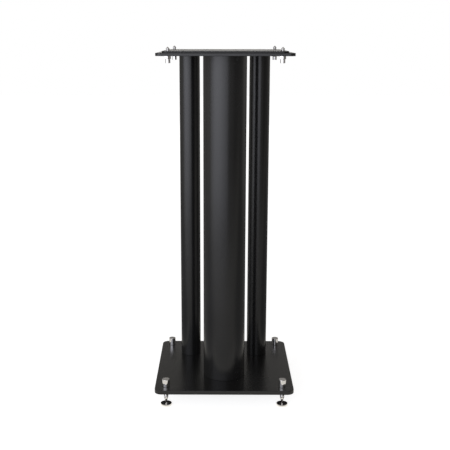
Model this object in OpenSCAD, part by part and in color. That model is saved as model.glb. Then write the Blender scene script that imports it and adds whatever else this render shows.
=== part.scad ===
// Loudspeaker stand: a steel base plate on four levelling feet, one thick and two thin tubular columns,
// and a two-layer top whose four pointed studs carry the loudspeaker.
// Millimetres, +Z up, front towards -Y. The origin is on the floor, below the middle of the base plate.

/* [Base plate] */
// Width of the base plate, left to right
base_w = 250; // [230:5:340]
// Depth of the base plate, front to rear
base_d = 250; // [230:5:340]
// Thickness of the base plate
base_t = 7.5; // [6:0.5:12]
// Radius of the base plate's corners in plan
base_corner_r = 12; // [6:1:18]
// Broken edge along the base plate's rims
base_edge = 0.8; // [0.4:0.1:1.5]

/* [Columns] */
// Height of all three columns between the plates
column_h = 585; // [300:5:900]
// Outside diameter of the centre column
centre_column_dia = 76; // [70:1:100]
// Wall of the centre column
centre_column_wall = 2; // [1.5:0.5:3]
// Place of the centre column in front of the middle
centre_column_forward = 43.5; // [35:0.5:55]
// Outside diameter of the two side columns
side_column_dia = 38; // [34:1:46]
// Wall of the side columns
side_column_wall = 2; // [1.5:0.5:3]
// Place of the side columns to the left and right of the middle
side_column_aside = 65; // [55:0.5:75]
// Place of the side columns behind the middle
side_column_behind = 62; // [50:0.5:70]

/* [Column plugs] */
// Thickness of the plugs that close the centre column
centre_plug_t = 14; // [13:1:25]
// Thickness of the plugs that close the side columns
side_plug_t = 18; // [15:1:30]
// Number of bolts in each centre plug
centre_bolt_count = 3; // [2:1:4]
// Diameter of the circle that those bolts stand on
centre_bolt_circle_dia = 40; // [34:1:44]

/* [Top plates] */
// Width of the lower top plate
top_w = 230; // [200:2:320]
// Depth of the lower top plate
top_d = 250; // [210:2:340]
// Thickness of the lower top plate
top_t = 5; // [4.5:0.5:10]
// Radius of the lower top plate's corners in plan
top_corner_r = 9; // [5:1:18]
// Broken edge along the lower top plate's rims
top_edge = 0.6; // [0.3:0.1:1]
// Step from the lower plate's rim in to the upper plate's rim
speaker_plate_inset = 10; // [4:0.5:14]
// Thickness of the upper plate
speaker_plate_t = 3; // [2:0.5:6]
// Radius of the upper plate's corners in plan
speaker_plate_corner_r = 9; // [4:1:14]
// Broken edge along the upper plate's rims
speaker_plate_edge = 0.5; // [0.2:0.1:0.8]

/* [Levelling feet] */
// Distance from each foot's axis to the base plate's rims
foot_inset = 20; // [17:0.5:28]
// Thread diameter of the foot spikes
foot_thread_dia = 8; // [6:1:10]
// Straight part of a foot spike below the base plate
foot_shank_h = 11.5; // [11:0.5:20]
// Height of a foot spike's cone
foot_cone_h = 14; // [8:0.5:20]
// Diameter of the flat at a foot spike's point
foot_point_dia = 0.8; // [0.4:0.1:1.2]
// Diameter of a foot knob
knob_dia = 13; // [12.6:0.2:18]
// Height of a foot knob
knob_h = 14; // [11:0.5:20]
// Gap that is left under a foot knob, which is screwed down almost to the base plate
knob_gap = 0.25; // [0.2:0.05:3]
// Length of the spike's end inside its knob
knob_grip_h = 10; // [6:0.5:10]
// Broken edge at the top and bottom of a foot knob
knob_edge = 0.6; // [0.3:0.1:0.9]
// Diameter of a floor disc
disc_dia = 20; // [16:1:26]
// Thickness of a floor disc
disc_t = 4; // [3:0.5:6]
// Width of the flat rim round a floor disc's dish
disc_rim_w = 1.6; // [1:0.1:3]
// Depth of a floor disc's dish at the edge of its dimple
disc_dish_h = 0.2; // [0.2:0.1:0.8]
// Diameter of the dimple that takes the spike's point
dimple_dia = 3.2; // [2.6:0.2:4.4]
// Depth of the dimple below the top of the disc
dimple_h = 1.4; // [1.1:0.1:1.8]
// Broken edge of a floor disc
disc_edge = 0.6; // [0.2:0.1:0.8]

/* [Top studs] */
// Distance from each stud's axis to the upper plate's rims
stud_inset = 10; // [8:0.5:20]
// Thread diameter of the top studs
stud_thread_dia = 6; // [5:1:6]
// Height of a stud's point above the upper plate
stud_rise = 6.6; // [5:0.2:12]
// Diameter of the flat at a stud's point
stud_point_dia = 0.9; // [0.4:0.1:1.6]
// Thickness of a lock nut
nut_h = 5; // [3:0.5:6]
// Width of a lock nut across its flats
nut_flats_w = 10; // [9.5:0.5:12]
// Diameter of a stud's grip
grip_dia = 8.2; // [8:0.2:12]
// Height of a stud's grip
grip_h = 6.4; // [5.5:0.2:12]
// Length of the stud's end inside its grip
grip_hold_h = 4.4; // [3:0.2:4.8]
// Broken edge of a grip
grip_edge = 0.4; // [0.2:0.1:0.6]

/* [Bolts] */
// Thread diameter of the bolts through the base plate
base_bolt_dia = 8; // [6:1:8]
// Head diameter of the bolts through the base plate
base_bolt_head_dia = 16; // [14:0.5:17]
// Length of the bolts through the base plate, head included
base_bolt_len = 18; // [14:1:19]
// Thread diameter of the bolts through the lower top plate
top_bolt_dia = 6; // [5:1:6]
// Head diameter of the bolts through the lower top plate
top_bolt_head_dia = 12; // [10:0.5:13]
// Length of the bolts through the lower top plate, head included
top_bolt_len = 15; // [12:1:16]

/* [Hidden] */

// Gap between a thread and the hole it runs in, on the radius
thread_clearance = 0.06;
// Gap between a bolt and its hole in a plate, on the radius
bolt_clearance = 0.1;
// Gap between a plug and the inside of its column, on the radius
plug_clearance = 0.1;
// Gap between two faces that are drawn up against each other but turn or slide apart
seat_clearance = 0.05;
// Play between a lock nut and the grip below it
grip_play = 0.15;
// Overrun of every cut
cut = 1;
// Depth of a bolt's hexagon socket as a share of its head's height
socket_depth_share = 0.62;
// Width of that socket across its flats as a share of the thread's diameter
socket_flats_share = 0.625;
// Height of the slope at a nut's corners as a share of the corners' reach past the flats
nut_slope_share = 0.58;

satin_black = [0.07, 0.07, 0.075];
chrome = [0.82, 0.83, 0.85];
zinc = [0.6, 0.6, 0.62];

// Each corner has a name and its side: left or right, front or rear
corners = [["fl", -1, -1], ["fr", 1, -1], ["rl", -1, 1], ["rr", 1, 1]];
sides = [["left", -1], ["right", 1]];

tip_z = disc_t - dimple_h + seat_clearance;
base_under_z = tip_z + foot_cone_h + foot_shank_h;
base_top_z = base_under_z + base_t;
column_top_z = base_top_z + column_h;
top_top_z = column_top_z + top_t;
speaker_top_z = top_top_z + speaker_plate_t;
knob_z = base_top_z + knob_gap;
nut_z = column_top_z - seat_clearance - nut_h;
grip_z = nut_z - grip_play - grip_h;

speaker_plate_w = top_w - 2 * speaker_plate_inset;
speaker_plate_d = top_d - 2 * speaker_plate_inset;
foot_x = base_w / 2 - foot_inset;
foot_y = base_d / 2 - foot_inset;
stud_x = speaker_plate_w / 2 - stud_inset;
stud_y = speaker_plate_d / 2 - stud_inset;
centre_bore_r = centre_column_dia / 2 - centre_column_wall;
side_bore_r = side_column_dia / 2 - side_column_wall;
foot_hole_r = foot_thread_dia / 2 + thread_clearance;
stud_hole_r = stud_thread_dia / 2 + thread_clearance;

$fn = 96;

// Placement

module at_foot(c) translate([c[1] * foot_x, c[2] * foot_y, 0]) children();
module at_stud(c) translate([c[1] * stud_x, c[2] * stud_y, 0]) children();
module at_centre_column() translate([0, -centre_column_forward, 0]) children();
module at_side_column(s) translate([s * side_column_aside, side_column_behind, 0]) children();
module at_centre_bolts() {
    at_centre_column()
        for (i = [0 : centre_bolt_count - 1])
            rotate([0, 0, 360 * i / centre_bolt_count])
                translate([0, centre_bolt_circle_dia / 2, 0]) children();
}
module at_side_bolts() for (s = sides) at_side_column(s[1]) children();

// Shared shapes

// Cross-section of a plate with all four long edges broken
module plate_section(w, t, edge) {
    polygon([
        [-w / 2 + edge, 0], [w / 2 - edge, 0], [w / 2, edge], [w / 2, t - edge],
        [w / 2 - edge, t], [-w / 2 + edge, t], [-w / 2, t - edge], [-w / 2, edge]
    ]);
}

// Flat plate from z = 0 up, with round corners and broken edges
module plate(w, d, t, corner_r, edge) {
    rotate([90, 0, 0]) linear_extrude(d - 2 * corner_r, center = true) plate_section(w, t, edge);
    rotate([90, 0, 90]) linear_extrude(w - 2 * corner_r, center = true) plate_section(d, t, edge);
    for (x = [-1, 1], y = [-1, 1])
        translate([x * (w / 2 - corner_r), y * (d / 2 - corner_r), 0])
            rotate_extrude() polygon([
                [0, 0], [corner_r - edge, 0], [corner_r, edge],
                [corner_r, t - edge], [corner_r - edge, t], [0, t]
            ]);
}

// Turned bar from z = 0 up, with both ends broken
module turned_bar(r, h, edge) {
    rotate_extrude() polygon([[0, 0], [r - edge, 0], [r, edge], [r, h - edge], [r - edge, h], [0, h]]);
}

// Countersunk bolt whose flush face is at z = 0 and whose thread points up
module countersunk_bolt(thread_r, head_r, len) {
    head_h = head_r - thread_r;
    socket_r = 2 * thread_r * socket_flats_share / sqrt(3);
    difference() {
        rotate_extrude() polygon([[0, 0], [head_r, 0], [thread_r, head_h], [thread_r, len], [0, len]]);
        translate([0, 0, -cut]) cylinder(r = socket_r, h = cut + head_h * socket_depth_share, $fn = 6);
    }
}

// Hole for such a bolt through a plate of thickness t
module countersunk_hole(thread_r, head_r, t) {
    hole_r = thread_r + bolt_clearance;
    mouth_r = head_r + bolt_clearance;
    rotate_extrude() polygon([
        [0, -cut], [mouth_r, -cut], [mouth_r, 0],
        [hole_r, mouth_r - hole_r], [hole_r, t + cut], [0, t + cut]
    ]);
}

// Hole for a levelling screw through a plate whose underside is at z
module screw_hole(r, z, t) {
    translate([0, 0, z - cut]) cylinder(r = r, h = t + 2 * cut);
}

module column(dia, wall) {
    color(satin_black) translate([0, 0, base_top_z]) difference() {
        cylinder(d = dia, h = column_h);
        translate([0, 0, -cut]) cylinder(d = dia - 2 * wall, h = column_h + 2 * cut);
    }
}

// Plug from z = 0 up, with a tapped hole at each of its children's places
module plug(bore_r, t) {
    color(zinc) difference() {
        cylinder(r = bore_r - plug_clearance, h = t);
        children();
    }
}

module tapped_hole(thread_dia, t) {
    translate([0, 0, -cut]) cylinder(r = thread_dia / 2 + thread_clearance, h = t + 2 * cut);
}

// Plates

module base_plate() {
    color(satin_black) difference() {
        translate([0, 0, base_under_z]) plate(base_w, base_d, base_t, base_corner_r, base_edge);
        for (c = corners) at_foot(c) screw_hole(foot_hole_r, base_under_z, base_t);
        at_centre_bolts() base_bolt_hole();
        at_side_bolts() base_bolt_hole();
    }
}

module base_bolt_hole() {
    translate([0, 0, base_under_z]) countersunk_hole(base_bolt_dia / 2, base_bolt_head_dia / 2, base_t);
}

module top_plate() {
    color(satin_black) difference() {
        translate([0, 0, column_top_z]) plate(top_w, top_d, top_t, top_corner_r, top_edge);
        for (c = corners) at_stud(c) screw_hole(stud_hole_r, column_top_z, top_t);
        at_centre_bolts() top_bolt_hole();
        at_side_bolts() top_bolt_hole();
    }
}

module top_bolt_hole() {
    translate([0, 0, top_top_z]) mirror([0, 0, 1])
        countersunk_hole(top_bolt_dia / 2, top_bolt_head_dia / 2, top_t);
}

module speaker_plate() {
    color(satin_black) difference() {
        translate([0, 0, top_top_z])
            plate(speaker_plate_w, speaker_plate_d, speaker_plate_t,
                speaker_plate_corner_r, speaker_plate_edge);
        for (c = corners) at_stud(c) screw_hole(stud_hole_r, top_top_z, speaker_plate_t);
    }
}

// Column plugs and bolts

module centre_lower_plug() {
    translate([0, 0, base_top_z]) difference() {
        at_centre_column() plug(centre_bore_r, centre_plug_t);
        at_centre_bolts() tapped_hole(base_bolt_dia, centre_plug_t);
    }
}

module centre_upper_plug() {
    translate([0, 0, column_top_z - centre_plug_t]) difference() {
        at_centre_column() plug(centre_bore_r, centre_plug_t);
        at_centre_bolts() tapped_hole(top_bolt_dia, centre_plug_t);
    }
}

module side_lower_plug(s) {
    at_side_column(s) translate([0, 0, base_top_z])
        plug(side_bore_r, side_plug_t) tapped_hole(base_bolt_dia, side_plug_t);
}

module side_upper_plug(s) {
    at_side_column(s) translate([0, 0, column_top_z - side_plug_t])
        plug(side_bore_r, side_plug_t) tapped_hole(top_bolt_dia, side_plug_t);
}

module base_bolt() {
    color(zinc) translate([0, 0, base_under_z])
        countersunk_bolt(base_bolt_dia / 2, base_bolt_head_dia / 2, base_bolt_len);
}

module top_bolt() {
    color(zinc) translate([0, 0, top_top_z]) mirror([0, 0, 1])
        countersunk_bolt(top_bolt_dia / 2, top_bolt_head_dia / 2, top_bolt_len);
}

// Levelling feet

// Pointed screw through the base plate, up into its knob
module foot_spike() {
    thread_r = foot_thread_dia / 2;
    end_z = knob_z + knob_grip_h - seat_clearance;
    color(chrome) rotate_extrude() polygon([
        [0, tip_z], [foot_point_dia / 2, tip_z], [thread_r, tip_z + foot_cone_h],
        [thread_r, end_z], [0, end_z]
    ]);
}

module foot_knob() {
    color(chrome) translate([0, 0, knob_z]) difference() {
        turned_bar(knob_dia / 2, knob_h, knob_edge);
        translate([0, 0, -cut]) cylinder(r = foot_hole_r, h = cut + knob_grip_h);
    }
}

// Disc with a shallow dish that guides the spike's point into the dimple in the middle
module floor_disc() {
    disc_r = disc_dia / 2;
    dish_r = disc_r - disc_rim_w;
    // The dimple's floor is twice as wide as the point that stands on it
    dimple_floor_r = foot_point_dia;
    color(chrome) rotate_extrude() polygon([
        [0, 0], [disc_r - disc_edge, 0], [disc_r, disc_edge], [disc_r, disc_t - disc_edge],
        [disc_r - disc_edge, disc_t], [dish_r, disc_t], [dimple_dia / 2, disc_t - disc_dish_h],
        [dimple_floor_r, disc_t - dimple_h], [0, disc_t - dimple_h]
    ]);
}

// Top studs

// Threaded stud through both top plates, with a right-angled point
module top_spike() {
    thread_r = stud_thread_dia / 2;
    point_r = stud_point_dia / 2;
    point_z = speaker_top_z + stud_rise;
    end_z = grip_z + grip_h - grip_hold_h + seat_clearance;
    color(chrome) rotate_extrude() polygon([
        [0, end_z], [thread_r, end_z], [thread_r, point_z - (thread_r - point_r)],
        [point_r, point_z], [0, point_z]
    ]);
}

// Hexagon nut with its corners sloped off above and below, and one corner to the front
module lock_nut() {
    flats_r = nut_flats_w / 2;
    corner_r = nut_flats_w / sqrt(3);
    slope_h = (corner_r - flats_r) * nut_slope_share;
    color(chrome) translate([0, 0, nut_z]) difference() {
        intersection() {
            rotate([0, 0, 30]) cylinder(r = corner_r, h = nut_h, $fn = 6);
            rotate_extrude() polygon([
                [0, 0], [flats_r, 0], [corner_r, slope_h],
                [corner_r, nut_h - slope_h], [flats_r, nut_h], [0, nut_h]
            ]);
        }
        translate([0, 0, -cut]) cylinder(r = stud_hole_r, h = nut_h + 2 * cut);
    }
}

module top_grip() {
    color(chrome) translate([0, 0, grip_z]) difference() {
        turned_bar(grip_dia / 2, grip_h, grip_edge);
        translate([0, 0, grip_h - grip_hold_h]) cylinder(r = stud_hole_r, h = grip_hold_h + cut);
    }
}

base_plate();
at_centre_column() column(centre_column_dia, centre_column_wall);  // centre_column
centre_lower_plug();
centre_upper_plug();
at_centre_bolts() base_bolt();  // centre_base_bolts
at_side_bolts() base_bolt();  // side_base_bolts
at_centre_bolts() top_bolt();  // centre_top_bolts
at_side_bolts() top_bolt();  // side_top_bolts
top_plate();
speaker_plate();

for (s = sides) {
    at_side_column(s[1]) column(side_column_dia, side_column_wall);
    side_lower_plug(s[1]);
    side_upper_plug(s[1]);
}

for (c = corners) {
    at_foot(c) foot_spike();
    at_foot(c) foot_knob();
    at_foot(c) floor_disc();
    at_stud(c) top_spike();
    at_stud(c) lock_nut();
    at_stud(c) top_grip();
}
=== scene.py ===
"""Looks of the speaker stand: powder-coated plates and tubes, chromed feet and studs.

Metres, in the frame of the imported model: +Z up, the front towards -Y, the floor at z = 0.
"""
import math

import bmesh
import bpy
from mathutils import Matrix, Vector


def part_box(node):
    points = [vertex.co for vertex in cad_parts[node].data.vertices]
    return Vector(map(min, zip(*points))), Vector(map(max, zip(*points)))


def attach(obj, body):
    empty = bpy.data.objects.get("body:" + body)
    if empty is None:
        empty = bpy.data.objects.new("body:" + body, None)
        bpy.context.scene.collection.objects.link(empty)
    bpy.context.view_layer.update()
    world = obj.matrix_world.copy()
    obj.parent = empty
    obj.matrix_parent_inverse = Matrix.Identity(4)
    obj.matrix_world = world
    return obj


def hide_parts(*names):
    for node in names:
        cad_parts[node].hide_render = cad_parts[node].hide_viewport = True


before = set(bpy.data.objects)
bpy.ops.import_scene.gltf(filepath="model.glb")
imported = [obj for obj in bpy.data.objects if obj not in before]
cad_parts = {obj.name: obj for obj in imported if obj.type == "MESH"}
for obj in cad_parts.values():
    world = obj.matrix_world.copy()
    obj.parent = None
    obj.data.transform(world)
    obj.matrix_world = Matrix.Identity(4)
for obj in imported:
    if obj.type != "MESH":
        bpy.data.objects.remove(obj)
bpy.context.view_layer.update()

MM = 0.001
CORNERS = ("fl", "fr", "rl", "rr")

# The photograph's camera, worked out from the stand's own edges
PICTURE_PX = 450
FOCAL_PX = 825.1
AXIS_PX = 215.6
SENSOR_MM = 36
CAMERA_PLACE = (-9.2 * MM, -1493.9 * MM, 650.4 * MM)
CAMERA_TILT = math.radians(12.808)
CAMERA_YAW = math.radians(0.27)
CAMERA_ROLL = math.radians(0.065)


def make_camera():
    """A camera at the photograph's place, looking down at the stand."""
    data = bpy.data.cameras.new("photo_camera")
    data.sensor_width = SENSOR_MM
    data.lens = FOCAL_PX / PICTURE_PX * SENSOR_MM
    data.shift_x = (PICTURE_PX / 2 - AXIS_PX) / PICTURE_PX
    data.clip_start = 0.05
    data.clip_end = 60
    camera = bpy.data.objects.new("photo_camera", data)
    camera.location = CAMERA_PLACE
    turn = Matrix.Rotation(CAMERA_YAW, 3, "Z") @ Matrix.Rotation(math.pi / 2 - CAMERA_TILT, 3, "X")
    camera.rotation_euler = (turn @ Matrix.Rotation(CAMERA_ROLL, 3, "Z")).to_euler()
    bpy.context.collection.objects.link(camera)
    bpy.context.scene.camera = camera


# Shader nodes

class Wire:
    """A node socket's output that can be used in sums."""

    def __init__(self, graph, socket):
        self.graph = graph
        self.socket = socket

    def _sum(self, operation, first, second):
        return self.graph.node("ShaderNodeMath", {"operation": operation}, {0: first, 1: second})

    def __add__(self, other):
        return self._sum("ADD", self, other)

    def __radd__(self, other):
        return self._sum("ADD", other, self)

    def __sub__(self, other):
        return self._sum("SUBTRACT", self, other)

    def __rsub__(self, other):
        return self._sum("SUBTRACT", other, self)

    def __mul__(self, other):
        return self._sum("MULTIPLY", self, other)

    def __rmul__(self, other):
        return self._sum("MULTIPLY", other, self)

    def __abs__(self):
        return self.graph.node("ShaderNodeMath", {"operation": "ABSOLUTE"}, {0: self})

    def larger(self, other):
        return self._sum("MAXIMUM", self, other)

    def spread(self, low, high, low_out=0.0, high_out=1.0):
        """Stretch low..high to low_out..high_out, held at both ends."""
        sockets = {"Value": self, "From Min": low, "From Max": high, "To Min": low_out, "To Max": high_out}
        return self.graph.node("ShaderNodeMapRange", {"clamp": True}, sockets)

    def fade(self, low, high):
        """1 up to low, falling to 0 at high."""
        return self.spread(low, high, 1.0, 0.0)


class Graph:
    """The nodes of one material or of the world."""

    def __init__(self, tree):
        self.tree = tree
        tree.nodes.clear()

    def node(self, kind, settings=None, sockets=None, out=0):
        """Add a node: its settings first, then the values or links of its sockets."""
        made = self.tree.nodes.new(kind)
        for key, value in (settings or {}).items():
            setattr(made, key, value)
        for key, value in (sockets or {}).items():
            if isinstance(value, Wire):
                self.tree.links.new(value.socket, made.inputs[key])
            else:
                made.inputs[key].default_value = value
        return Wire(self, made.outputs[out]) if made.outputs else None

    def place(self):
        """Where a point is on the object, in metres."""
        return self.node("ShaderNodeTexCoord", out="Object")

    def ray(self, kind):
        """1 for rays of a kind, such as Is Camera Ray, and 0 for all others."""
        return self.node("ShaderNodeLightPath", out=kind)

    def noise(self, scale, detail, roughness):
        """Even noise from 0 to 1, with about scale grains to the metre."""
        sockets = {"Vector": self.place(), "Scale": scale, "Detail": detail, "Roughness": roughness}
        return self.node("ShaderNodeTexNoise", {}, sockets)

    def bump(self, height, distance, strength):
        return self.node("ShaderNodeBump", {}, {"Height": height, "Distance": distance, "Strength": strength})

    def tint(self, share, first, second):
        """A colour between two colours."""
        return self.node("ShaderNodeMix", {"data_type": "RGBA"}, {0: share, 6: first, 7: second}, out=2)

    def surface(self, sockets):
        """End a material in one Principled shader."""
        shader = self.node("ShaderNodeBsdfPrincipled", {}, sockets)
        self.node("ShaderNodeOutputMaterial", {}, {"Surface": shader})


def new_material(name):
    material = bpy.data.materials.new(name)
    material.use_nodes = True
    return material, Graph(material.node_tree)


def grey(value):
    return (value, value, value, 1.0)


# Where even noise is stretched from, because it rarely comes near 0 or 1
NOISE_LOW = 0.3
NOISE_HIGH = 0.7
# How far the shade of a coat or a steel strays to each side, as a share of it
STRAY = 0.15
# How high the slow waves of the coat are, where its pebbles are 1
WAVE_SHARE = 1.4
# Where the smears of the chrome start to take its gloss
SMEAR_LOW = 0.35


def strayed(graph, clouds, shade):
    """A grey that strays to both sides of a shade."""
    darker, lighter = grey(shade * (1 - STRAY)), grey(shade * (1 + STRAY))
    return graph.tint(clouds.spread(NOISE_LOW, NOISE_HIGH), darker, lighter)


def powder_coat(name, shade, roughness_low, roughness_high):
    """Satin black powder coat: a fine pebbled skin that clouds a little from place to place."""
    material, graph = new_material(name)
    pebbles = graph.noise(scale=1900.0, detail=2.0, roughness=0.55)
    waves = graph.noise(scale=240.0, detail=1.0, roughness=0.4)
    clouds = graph.noise(scale=9.0, detail=3.0, roughness=0.6)
    graph.surface({
        "Base Color": strayed(graph, clouds, shade),
        "Roughness": clouds.spread(NOISE_LOW, NOISE_HIGH, roughness_low, roughness_high),
        "Normal": graph.bump(pebbles + waves * WAVE_SHARE, distance=0.004 * MM, strength=0.25),
    })
    return material


def chrome_plate(name, bright, dull, roughness_low, roughness_high):
    """Bright chrome with faint turning marks and hairline wear."""
    material, graph = new_material(name)
    marks = graph.noise(scale=900.0, detail=4.0, roughness=0.6)
    smears = graph.noise(scale=60.0, detail=3.0, roughness=0.6)
    graph.surface({
        "Base Color": graph.tint(smears.spread(NOISE_LOW, NOISE_HIGH), bright, dull),
        "Metallic": 1.0,
        "Roughness": smears.spread(SMEAR_LOW, NOISE_HIGH, roughness_low, roughness_high),
        "Normal": graph.bump(marks, distance=0.002 * MM, strength=0.3),
    })
    return material


def plain_steel(name, shade, roughness_low, roughness_high):
    """Turned or blackened steel for what is inside and below."""
    material, graph = new_material(name)
    grain = graph.noise(scale=700.0, detail=3.0, roughness=0.6)
    stain = graph.noise(scale=80.0, detail=3.0, roughness=0.6)
    graph.surface({
        "Base Color": strayed(graph, stain, shade),
        "Metallic": 1.0,
        "Roughness": stain.spread(NOISE_LOW, NOISE_HIGH, roughness_low, roughness_high),
        "Normal": graph.bump(grain, distance=0.006 * MM, strength=0.4),
    })
    return material


# The finish of each of the record's material slots
FINISHES = {
    "satin_black": powder_coat("satin_powder_coat", shade=0.010, roughness_low=0.24, roughness_high=0.28),
    "chrome": chrome_plate("chrome_plate", bright=(0.89, 0.88, 0.87, 1), dull=(0.83, 0.82, 0.82, 1),
                           roughness_low=0.05, roughness_high=0.11),
    "bolt_steel": plain_steel("black_oxide_steel", shade=0.10, roughness_low=0.34, roughness_high=0.46),
    "plug_steel": plain_steel("turned_steel", shade=0.48, roughness_low=0.30, roughness_high=0.42),
}


# Meshes

def make_piece(name, bm, slot, body, node, sharp):
    """Turn a bmesh into a piece with smooth curves and even flats, and tie it to the frame.

    Edges that turn by sharp degrees or more stay crisp.
    """
    bmesh.ops.recalc_face_normals(bm, faces=bm.faces)
    for face in bm.faces:
        face.smooth = True
    for edge in bm.edges:
        edge.smooth = len(edge.link_faces) == 2 and edge.calc_face_angle(0) < math.radians(sharp)
    mesh = bpy.data.meshes.new(name)
    bm.to_mesh(mesh)
    bm.free()
    piece = bpy.data.objects.new(name, mesh)
    bpy.context.collection.objects.link(piece)
    mesh.materials.append(FINISHES[slot])
    even = piece.modifiers.new("even_faces", "WEIGHTED_NORMAL")
    even.keep_sharp = True
    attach(piece, body)
    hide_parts(node)


def middle(node):
    low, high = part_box(node)
    return (low + high) / 2


def round_size(node):
    """Lower end, upper end and radius of a round upright node."""
    low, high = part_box(node)
    return low.z, high.z, (high.x - low.x) / 2


def bridge(bm, ring_a, ring_b):
    """Close the strip between two rings, of which one may be a single point."""
    count = max(len(ring_a), len(ring_b))
    for i in range(count):
        j = (i + 1) % count
        if len(ring_a) == 1:
            bm.faces.new((ring_a[0], ring_b[j], ring_b[i]))
        elif len(ring_b) == 1:
            bm.faces.new((ring_a[i], ring_a[j], ring_b[0]))
        else:
            bm.faces.new((ring_a[i], ring_a[j], ring_b[j], ring_b[i]))


def loft(bm, rings, centre):
    """Join rings of (points, height) in their order, round a vertical axis at centre."""
    made = [[bm.verts.new((centre[0] + x, centre[1] + y, z)) for x, y in points] for points, z in rings]
    for ring, following in zip(made, made[1:]):
        bridge(bm, ring, following)
    return made


def circle_points(radius, segments):
    """Points round a circle, or its middle alone where the radius is 0."""
    count = segments if radius else 1
    return [(radius * math.cos(math.tau * i / segments), radius * math.sin(math.tau * i / segments))
            for i in range(count)]


def turned(profile, segments):
    """Rings of a turned shape, from a profile of (radius, height). A radius of 0 closes an end."""
    return [(circle_points(radius, segments), height) for radius, height in profile]


def arc(x, y, radius, start, end, steps):
    """Points along an arc round (x, y), from angle start to angle end in degrees."""
    points = []
    for i in range(steps + 1):
        a = math.radians(start + (end - start) * i / steps)
        points.append((x + radius * math.cos(a), y + radius * math.sin(a)))
    return points


def rim(radius, low_z, high_z, edge, steps):
    """Profile of an outer wall from its lower to its upper end, with both edges round."""
    lower = arc(radius - edge, low_z + edge, edge, -90, 0, steps)
    return lower + arc(radius - edge, high_z - edge, edge, 0, 90, steps)


# Threads: the groove's half width is a share of the pitch
THREAD_SEGMENTS = 40
THREAD_STEPS = 10
GROOVE_HALF = 0.44


def thread_rings(outer, depth, pitch, low, high):
    """Rings of a one-start V thread between two heights, fading out over one turn at both ends."""
    rings = []
    count = round((high - low) / pitch * THREAD_STEPS)
    for k in range(count + 1):
        z = low + (high - low) * k / count
        share = max(0.0, min(1.0, (z - low) / pitch, (high - z) / pitch))
        ring = []
        for i in range(THREAD_SEGMENTS):
            turn = i / THREAD_SEGMENTS
            phase = (z / pitch - turn) % 1.0
            groove = max(0.0, 1 - abs(phase - 0.5) / GROOVE_HALF)
            r = outer - depth * groove * share
            ring.append((r * math.cos(math.tau * turn), r * math.sin(math.tau * turn)))
        rings.append((ring, z))
    return rings


# Plates: corner radii, round edges, and holes with broken mouths or countersunk seats
BASE_CORNER_R = 12 * MM
BASE_EDGE = 0.9 * MM
TOP_CORNER_R = 9 * MM
TOP_EDGE = 0.7 * MM
SPEAKER_CORNER_R = 9 * MM
SPEAKER_EDGE = 0.6 * MM
CORNER_STEPS = 14
PLATE_EDGE_STEPS = 4
PLATE_SHARP = 50
HOLE_SEGMENTS = 48
FOOT_HOLE_R = 4.06 * MM
FOOT_HOLE_EDGE = 0.4 * MM
STUD_HOLE_R = 3.06 * MM
STUD_HOLE_EDGE = 0.3 * MM
BASE_BOLT_HOLE_R = 4.1 * MM
BASE_BOLT_SEAT_R = 8.1 * MM
TOP_BOLT_HOLE_R = 3.1 * MM
TOP_BOLT_SEAT_R = 6.1 * MM
# Points closer than this are one
WELD = 0.001 * MM


def rounded_outline(half_w, half_d, radius):
    """Points round a rectangle with round corners, anticlockwise from the right."""
    points = []
    for sx, sy, start in ((1, 1, 0), (-1, 1, 90), (-1, -1, 180), (1, -1, 270)):
        x, y = sx * (half_w - radius), sy * (half_d - radius)
        points += arc(x, y, radius, start, start + 90, CORNER_STEPS)
    return points


def cap(bm, rings):
    """Fill a flat face between an outer ring and the rings of its holes."""
    edges = []
    for ring in rings:
        for i, vert in enumerate(ring):
            other = ring[(i + 1) % len(ring)]
            edges.append(bm.edges.get((vert, other)) or bm.edges.new((vert, other)))
    bmesh.ops.triangle_fill(bm, use_beauty=True, use_dissolve=False, edges=edges)


def plate_piece(node, corner_r, edge_r, holes):
    """A flat plate with round corners and rims. Each hole is (x, y, [(radius, height), ...]) upwards."""
    low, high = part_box(node)
    half_w, half_d = (high.x - low.x) / 2, (high.y - low.y) / 2
    rings = [(rounded_outline(half_w + inset, half_d + inset, corner_r + inset), z)
             for inset, z in rim(0, low.z, high.z, edge_r, PLATE_EDGE_STEPS)]
    bm = bmesh.new()
    outside = loft(bm, rings, middle(node))
    bottoms, tops = [outside[0]], [outside[-1]]
    for x, y, wall in holes:
        hole = loft(bm, turned(wall, HOLE_SEGMENTS), (x, y))
        bottoms.append(hole[0])
        tops.append(hole[-1])
    cap(bm, bottoms)
    cap(bm, tops)
    make_piece(node + "_coated", bm, "satin_black", "frame", node, PLATE_SHARP)


def straight_holes(plate, screw, radius, edge):
    """Drilled holes through a plate for the screw at each corner, with both mouths broken."""
    low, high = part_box(plate)
    wall = [(radius + edge, low.z), (radius, low.z + edge), (radius, high.z - edge), (radius + edge, high.z)]
    centres = [middle(screw + corner) for corner in CORNERS]
    return [(centre.x, centre.y, wall) for centre in centres]


def group_centres(node):
    """Middle of each separate solid in a group node, in plan."""
    bm = bmesh.new()
    bm.from_mesh(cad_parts[node].data)
    bmesh.ops.remove_doubles(bm, verts=bm.verts, dist=WELD)
    left = set(bm.verts)
    centres = []
    while left:
        seed = left.pop()
        island, queue = [seed], [seed]
        while queue:
            for edge in queue.pop().link_edges:
                for vert in edge.verts:
                    if vert in left:
                        left.remove(vert)
                        island.append(vert)
                        queue.append(vert)
        xs = [v.co.x for v in island]
        ys = [v.co.y for v in island]
        centres.append(((min(xs) + max(xs)) / 2, (min(ys) + max(ys)) / 2))
    bm.free()
    return sorted(centres)


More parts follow.
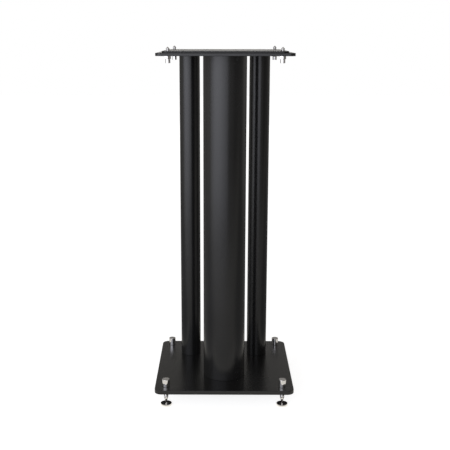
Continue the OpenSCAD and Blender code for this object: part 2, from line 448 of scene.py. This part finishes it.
def countersunk_holes(groups, face_z, far_z, seat_r, hole_r):
    """Holes for all bolts of some groups, whose heads sit in the face at face_z."""
    seat_h = seat_r - hole_r
    if far_z > face_z:
        wall = [(seat_r, face_z), (hole_r, face_z + seat_h), (hole_r, far_z)]
    else:
        wall = [(hole_r, far_z), (hole_r, face_z - seat_h), (seat_r, face_z)]
    return [(x, y, wall) for node in groups for x, y in group_centres(node)]


def make_plates():
    low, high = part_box("base_plate")
    bolts = ("centre_base_bolts", "side_base_bolts")
    holes = straight_holes("base_plate", "foot_spike_", FOOT_HOLE_R, FOOT_HOLE_EDGE)
    holes += countersunk_holes(bolts, low.z, high.z, BASE_BOLT_SEAT_R, BASE_BOLT_HOLE_R)
    plate_piece("base_plate", BASE_CORNER_R, BASE_EDGE, holes)

    low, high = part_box("top_plate")
    bolts = ("centre_top_bolts", "side_top_bolts")
    holes = straight_holes("top_plate", "top_spike_", STUD_HOLE_R, STUD_HOLE_EDGE)
    holes += countersunk_holes(bolts, high.z, low.z, TOP_BOLT_SEAT_R, TOP_BOLT_HOLE_R)
    plate_piece("top_plate", TOP_CORNER_R, TOP_EDGE, holes)

    holes = straight_holes("speaker_plate", "top_spike_", STUD_HOLE_R, STUD_HOLE_EDGE)
    plate_piece("speaker_plate", SPEAKER_CORNER_R, SPEAKER_EDGE, holes)


# Columns
TUBE_WALL = 2 * MM
TUBE_EDGE = 0.5 * MM
TUBE_EDGE_STEPS = 4
TUBE_SEGMENTS = 160
TUBE_SHARP = 50


def make_columns():
    for node in ("centre_column", "left_column", "right_column"):
        low_z, high_z, radius = round_size(node)
        bore = radius - TUBE_WALL
        profile = [(bore, low_z)]
        profile += rim(radius, low_z, high_z, TUBE_EDGE, TUBE_EDGE_STEPS)
        profile += [(bore, high_z), (bore, low_z)]
        bm = bmesh.new()
        loft(bm, turned(profile, TUBE_SEGMENTS), middle(node))
        bmesh.ops.remove_doubles(bm, verts=bm.verts, dist=WELD)
        make_piece(node + "_coated", bm, "satin_black", "frame", node, TUBE_SHARP)


# Feet: the spike is a blunt tip, a cone with a soft shoulder, plain shank, thread and a broken upper end.
# The tip is (radius, height) from its lowest point
SPIKE_TIP = ((0, 0), (0.25 * MM, 0), (0.4 * MM, 0.12 * MM))
SPIKE_CONE_H = 14 * MM
SPIKE_SHOULDER_R = 0.12 * MM
SPIKE_SHOULDER_H = 0.6 * MM
SPIKE_PLAIN_H = 0.8 * MM
SPIKE_END_R = 0.5 * MM
SPIKE_END_H = 0.6 * MM
FOOT_PITCH = 1.25 * MM
FOOT_THREAD_DEPTH = 0.68 * MM
SCREW_SHARP = 38
KNOB_EDGE = 0.7 * MM
KNOB_EDGE_STEPS = 5
KNOB_SEAT_EDGE = 0.2 * MM
KNOB_SEAT_STEPS = 3
KNOB_MOUTH = 0.5 * MM
KNOB_BORE_H = 10 * MM
KNOB_SEGMENTS = 72
KNOB_SHARP = 32
DISC_EDGE = 0.2 * MM
DISC_EDGE_STEPS = 3
DISC_SEGMENTS = 96
DISC_SHARP = 20
# The disc's top as (radius, depth): a flat rim, a shallow dish and the dimple for the spike's tip
DISH = ((8.45 * MM, 0), (8.3 * MM, 0.03 * MM), (1.7 * MM, 0.2 * MM), (0.8 * MM, 1.4 * MM), (0, 1.4 * MM))


def make_foot(corner):
    spike, knob, disc = "foot_spike_" + corner, "foot_knob_" + corner, "floor_disc_" + corner
    centre = middle(spike)

    low_z, high_z, radius = round_size(spike)
    cone_top = low_z + SPIKE_CONE_H
    cone = [(r, low_z + height) for r, height in SPIKE_TIP]
    cone += [(radius - SPIKE_SHOULDER_R, cone_top - SPIKE_SHOULDER_H), (radius, cone_top)]
    thread_low, thread_high = cone_top + SPIKE_PLAIN_H, high_z - SPIKE_END_H
    rings = turned(cone, THREAD_SEGMENTS)
    rings += thread_rings(radius, FOOT_THREAD_DEPTH, FOOT_PITCH, thread_low, thread_high)
    rings += turned([(radius - SPIKE_END_R, high_z), (0, high_z)], THREAD_SEGMENTS)
    bm = bmesh.new()
    loft(bm, rings, centre)
    make_piece("spike_" + corner, bm, "chrome", spike, spike, SCREW_SHARP)

    low_z, high_z, radius = round_size(knob)
    bore_top = low_z + KNOB_BORE_H
    profile = [(0, bore_top), (FOOT_HOLE_R, bore_top), (FOOT_HOLE_R, low_z + KNOB_MOUTH)]
    profile += [(FOOT_HOLE_R + KNOB_MOUTH, low_z)]
    profile += arc(radius - KNOB_SEAT_EDGE, low_z + KNOB_SEAT_EDGE, KNOB_SEAT_EDGE, -90, 0, KNOB_SEAT_STEPS)
    profile += arc(radius - KNOB_EDGE, high_z - KNOB_EDGE, KNOB_EDGE, 0, 90, KNOB_EDGE_STEPS)
    profile += [(0, high_z)]
    bm = bmesh.new()
    loft(bm, turned(profile, KNOB_SEGMENTS), centre)
    make_piece("knob_" + corner, bm, "chrome", knob, knob, KNOB_SHARP)

    low_z, high_z, radius = round_size(disc)
    profile = [(0, low_z)] + rim(radius, low_z, high_z, DISC_EDGE, DISC_EDGE_STEPS)
    profile += [(r, high_z - depth) for r, depth in DISH]
    bm = bmesh.new()
    loft(bm, turned(profile, DISC_SEGMENTS), centre)
    make_piece("disc_" + corner, bm, "chrome", disc, disc, DISC_SHARP)


# Top studs: a broken lower end, thread, a soft shoulder and a short point. The tip is (radius, depth) below
# its highest point
STUD_END_EDGE = 0.4 * MM
STUD_PLAIN_H = 0.5 * MM
STUD_SHOULDER = 0.1 * MM
STUD_POINT_H = 2.55 * MM
STUD_TIP = ((0.55 * MM, 0.12 * MM), (0.3 * MM, 0), (0, 0))
STUD_PITCH = 1.0 * MM
STUD_THREAD_DEPTH = 0.54 * MM
# The nut's half width over its flats, the flat ring of each face as a share of it, and how steeply its
# corners are sloped off. The slope's first ring lies a little up, clear of where the slope meets the flats
NUT_FLATS_R = 5 * MM
NUT_FACE_SHARE = 0.96
NUT_SLOPE = 0.58
NUT_SLOPE_RINGS = 6
NUT_FIRST_RING = 0.3
NUT_BORE_EDGE = 0.4 * MM
NUT_SEGMENTS = 96
NUT_SHARP = 18
GRIP_EDGE = 0.45 * MM
GRIP_EDGE_STEPS = 5
GRIP_BORE_H = 4.4 * MM
GRIP_SEGMENTS = 64
GRIP_SHARP = 32


def hexagon_points(limit):
    """Points round the nut's hexagon where a circle of radius limit cuts off its corners."""
    points = []
    for i in range(NUT_SEGMENTS):
        a = math.tau * i / NUT_SEGMENTS
        from_flat = (a + math.pi / 6) % (math.pi / 3) - math.pi / 6
        r = min(NUT_FLATS_R / math.cos(from_flat), limit)
        points.append((r * math.cos(a), r * math.sin(a)))
    return points


def nut_rings(low_z, high_z):
    """A hexagon nut whose corners are sloped off, with a broken bore, from outside to inside."""
    corner_h = NUT_FLATS_R * 2 / math.sqrt(3) - NUT_FLATS_R
    levels = [(low_z, NUT_FLATS_R * NUT_FACE_SHARE)]
    for i in range(NUT_SLOPE_RINGS):
        share = (i + NUT_FIRST_RING) / (NUT_SLOPE_RINGS - 1 + NUT_FIRST_RING)
        levels.append((low_z + corner_h * NUT_SLOPE * share, NUT_FLATS_R + corner_h * share))
    levels += [(high_z - (z - low_z), limit) for z, limit in reversed(levels)]
    mouth = STUD_HOLE_R + NUT_BORE_EDGE
    bore = [(mouth, high_z), (STUD_HOLE_R, high_z - NUT_BORE_EDGE)]
    bore += [(STUD_HOLE_R, low_z + NUT_BORE_EDGE), (mouth, low_z)]
    return [(hexagon_points(limit), z) for z, limit in levels] + turned(bore, NUT_SEGMENTS)


def make_stud(corner):
    stud, nut, grip = "top_spike_" + corner, "lock_nut_" + corner, "top_grip_" + corner
    centre = middle(stud)

    low_z, high_z, radius = round_size(stud)
    cone_low = high_z - STUD_POINT_H
    thread_low, thread_high = low_z + STUD_END_EDGE, cone_low - STUD_PLAIN_H
    point = [(radius, cone_low - STUD_SHOULDER), (radius - STUD_SHOULDER, cone_low + STUD_SHOULDER / 2)]
    point += [(r, high_z - depth) for r, depth in STUD_TIP]
    rings = turned([(0, low_z), (radius - STUD_END_EDGE, low_z)], THREAD_SEGMENTS)
    rings += thread_rings(radius, STUD_THREAD_DEPTH, STUD_PITCH, thread_low, thread_high)
    rings += turned(point, THREAD_SEGMENTS)
    bm = bmesh.new()
    loft(bm, rings, centre)
    make_piece("stud_" + corner, bm, "chrome", stud, stud, SCREW_SHARP)

    low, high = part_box(nut)
    bm = bmesh.new()
    made = loft(bm, nut_rings(low.z, high.z), centre)
    bridge(bm, made[-1], made[0])
    make_piece("nut_" + corner, bm, "chrome", nut, nut, NUT_SHARP)

    low_z, high_z, radius = round_size(grip)
    bore_floor = high_z - GRIP_BORE_H
    profile = [(0, low_z)] + rim(radius, low_z, high_z, GRIP_EDGE, GRIP_EDGE_STEPS)
    profile += [(STUD_HOLE_R + STUD_HOLE_EDGE, high_z), (STUD_HOLE_R, high_z - STUD_HOLE_EDGE)]
    profile += [(STUD_HOLE_R, bore_floor), (0, bore_floor)]
    bm = bmesh.new()
    loft(bm, turned(profile, GRIP_SEGMENTS), centre)
    make_piece("grip_" + corner, bm, "chrome", grip, grip, GRIP_SHARP)


def dress_hidden_nodes():
    """Plugs and bolts keep their own solids and get their metal."""
    for name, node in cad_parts.items():
        for word, slot in (("plug", "plug_steel"), ("bolts", "bolt_steel")):
            if word in name:
                for place in node.material_slots:
                    place.material = FINISHES[slot]


# Studio: white to the eye, and a dim room to the stand, as its black coat and chrome show
FLOOR_SHADE = 0.60
FLOOR_HALF = 4.0
AMBIENT = 0.17
AMBIENT_COLOUR = (1.0, 0.96, 0.91, 1.0)
# The colour of the floor's painted glow, which only mirrors see
PAINTED_GLOW_COLOUR = (1.0, 0.96, 0.85, 1.0)
KEY_COLOUR = (0.90, 0.915, 1.0)
ROOM_COLOUR = (1.0, 0.98, 0.94)

# The floor's own light for the eye grows from the first to the second of two reaches from the middle
EYE_REACH = (0.5, 2.5)
EYE_GLOW = (0.86, 0.96)

# The floor's painted light, which only mirrors see, and in pairs where each soft edge starts and ends: a
# glowing patch round each foot, a ring round the stand, a strip in front of the ring, and the floor further
# to the front
FOOT_GLOW = 0.80
FOOT_PATCH = (0.014, 0.017)
RING_GLOW = 0.50
RING_INNER = (0.135, 0.150)
RING_OUTER = (0.215, 0.245)
MID_GLOW = 0.14
MID_REAR = (-0.23, -0.13)
MID_OUTER = (0.38, 0.42)
FRONT_GLOW = 0.27
FRONT_NEAR = (-0.50, -0.25)
FRONT_FAR = (-1.6, -0.8)

# Softboxes stand upright on a ring round the stand: azimuth from the front towards the right in degrees,
# lower and upper edge in metres, and brightness, where a white card that sees nothing else turns white at 1
RING_R = 1.7
SOFTBOX_STEP = 30
SOFTBOXES = (
    ("fill_front", 30, 0.02, 1.3, 0.14),
    ("fill_right", 90, 0.02, 1.3, 0.05),
    ("fill_right_rear", 120, 0.02, 1.3, 0.20),
    ("back_high", 180, 0.66, 1.3, 0.06),
    ("fill_left_rear", -120, 0.02, 1.3, 0.13),
    ("fill_left", -90, 0.02, 1.3, 0.36),
)
# The key light is one wide curved softbox that fades towards its ends. It is made of narrow ones, from the
# left towards the right, and has a brighter band half way up, which the upper ends of the tubes mirror.
# Each band is its lower edge, its upper edge and its share of the softbox's level
KEY_STEP = 15
KEY_START = -67.5
KEY_LEVELS = (1.26, 2.02, 2.12, 1.97, 1.53, 1.08)
KEY_BANDS = ((0.02, 0.38, 0.97), (0.38, 0.68, 1.36), (0.68, 1.3, 1.0))
CEILING_Z = 2.4
CEILING_SIDE = 2.4
CEILING_LEVEL = 0.20
BACKDROP_PLACE = (0, 5.0, 0.8)
BACKDROP_SIZE = (3.5, 0.8)
BACKDROP_LEVEL = 0.90


def floor_glow(graph, mirrored):
    """The floor's own light: it fills the lamps' light up to white for the eye. For mirrors it is painted
    light, a glow that is bright round each foot, less bright in a ring round the stand and dim in front, but
    not under it."""
    where = graph.place()
    across = abs(graph.node("ShaderNodeSeparateXYZ", {}, {"Vector": where}, out="X"))
    along = graph.node("ShaderNodeSeparateXYZ", {}, {"Vector": where}, out="Y")
    reach = across.larger(abs(along))
    for_eye = reach.spread(*EYE_REACH, *EYE_GLOW)
    foot = middle("foot_spike_rr")
    foot_side, foot_front = across - foot.x, abs(along) - foot.y
    foot_square = foot_side * foot_side + foot_front * foot_front
    feet = foot_square.fade(FOOT_PATCH[0] ** 2, FOOT_PATCH[1] ** 2)
    ring = reach.spread(*RING_INNER) * reach.fade(*RING_OUTER)
    mid = reach.spread(*RING_OUTER) * along.fade(*MID_REAR) * reach.fade(*MID_OUTER)
    front = along.fade(*FRONT_NEAR) * along.spread(*FRONT_FAR)
    # Painted light: the floor glows in these patches for mirrors only, though it is no lamp
    painted_glow_for_mirrors = feet * FOOT_GLOW + ring * RING_GLOW + mid * MID_GLOW + front * FRONT_GLOW
    return (graph.ray("Is Camera Ray") + graph.ray("Is Transmission Ray")) * for_eye + mirrored * painted_glow_for_mirrors


def make_floor():
    """A wide white floor that stays white to the eye and keeps a faint shadow."""
    mesh = bpy.data.meshes.new("floor")
    left, right, front, rear = -FLOOR_HALF, FLOOR_HALF, -FLOOR_HALF, 2 * FLOOR_HALF
    corners = [(left, front, 0), (right, front, 0), (right, rear, 0), (left, rear, 0)]
    mesh.from_pydata(corners, [], [(0, 1, 2, 3)])
    floor = bpy.data.objects.new("floor", mesh)
    bpy.context.collection.objects.link(floor)
    material, graph = new_material("studio_floor")
    lit = graph.node("ShaderNodeBsdfDiffuse", {}, {"Color": grey(FLOOR_SHADE)})
    mirrored = graph.ray("Is Glossy Ray")
    colour = graph.tint(mirrored, grey(1.0), PAINTED_GLOW_COLOUR)
    shine = graph.node("ShaderNodeEmission", {}, {"Color": colour, "Strength": floor_glow(graph, mirrored)})
    both = graph.node("ShaderNodeAddShader", {}, {0: lit, 1: shine})
    graph.node("ShaderNodeOutputMaterial", {}, {"Surface": both})
    mesh.materials.append(material)


def make_world():
    """White to the eye, and a dim room to everything else."""
    world = bpy.data.worlds.new("studio")
    world.use_nodes = True
    bpy.context.scene.world = world
    graph = Graph(world.node_tree)
    white = (graph.ray("Is Camera Ray") + graph.ray("Is Transmission Ray")).spread(0.0, 1.0)
    colour = graph.tint(white, AMBIENT_COLOUR, grey(1.0))
    strength = white * (1.0 - AMBIENT) + AMBIENT
    background = graph.node("ShaderNodeBackground", {}, {"Color": colour, "Strength": strength})
    graph.node("ShaderNodeOutputWorld", {}, {"Surface": background})


def make_lamp(name, width, height, level, colour, place, turn):
    """A rectangular lamp out of the camera's sight, which shines along its own -Z."""
    data = bpy.data.lights.new(name, "AREA")
    data.shape = "RECTANGLE"
    data.size = width
    data.size_y = height
    data.energy = math.pi * width * height * level
    data.color = colour
    lamp = bpy.data.objects.new(name, data)
    lamp.location = place
    lamp.rotation_euler = turn
    lamp.visible_camera = False
    bpy.context.collection.objects.link(lamp)


def make_softbox(name, azimuth, step, low, high, level, colour):
    """An upright lamp of the ring, as wide as its step."""
    turn = math.radians(azimuth)
    place = (RING_R * math.sin(turn), -RING_R * math.cos(turn), (low + high) / 2)
    width = 2 * RING_R * math.tan(math.radians(step / 2))
    make_lamp(name, width, high - low, level, colour, place, (math.pi / 2, 0, turn))


def make_lights():
    """The ring of softboxes that face the stand, a dim ceiling and a lit backdrop far behind."""
    for name, azimuth, low, high, level in SOFTBOXES:
        make_softbox(name, azimuth, SOFTBOX_STEP, low, high, level, ROOM_COLOUR)
    for i, level in enumerate(KEY_LEVELS):
        for low, high, share in KEY_BANDS:
            make_softbox("key", KEY_START + i * KEY_STEP, KEY_STEP, low, high, level * share, KEY_COLOUR)
    make_lamp("ceiling", CEILING_SIDE, CEILING_SIDE, CEILING_LEVEL, ROOM_COLOUR, (0, 0, CEILING_Z), (0, 0, 0))
    make_lamp("backdrop", *BACKDROP_SIZE, BACKDROP_LEVEL, ROOM_COLOUR, BACKDROP_PLACE, (-math.pi / 2, 0, 0))


make_camera()
make_plates()
make_columns()
for corner_name in CORNERS:
    make_foot(corner_name)
    make_stud(corner_name)
dress_hidden_nodes()
make_floor()
make_world()
make_lights()
bpy.context.scene.view_settings.view_transform = "Standard"
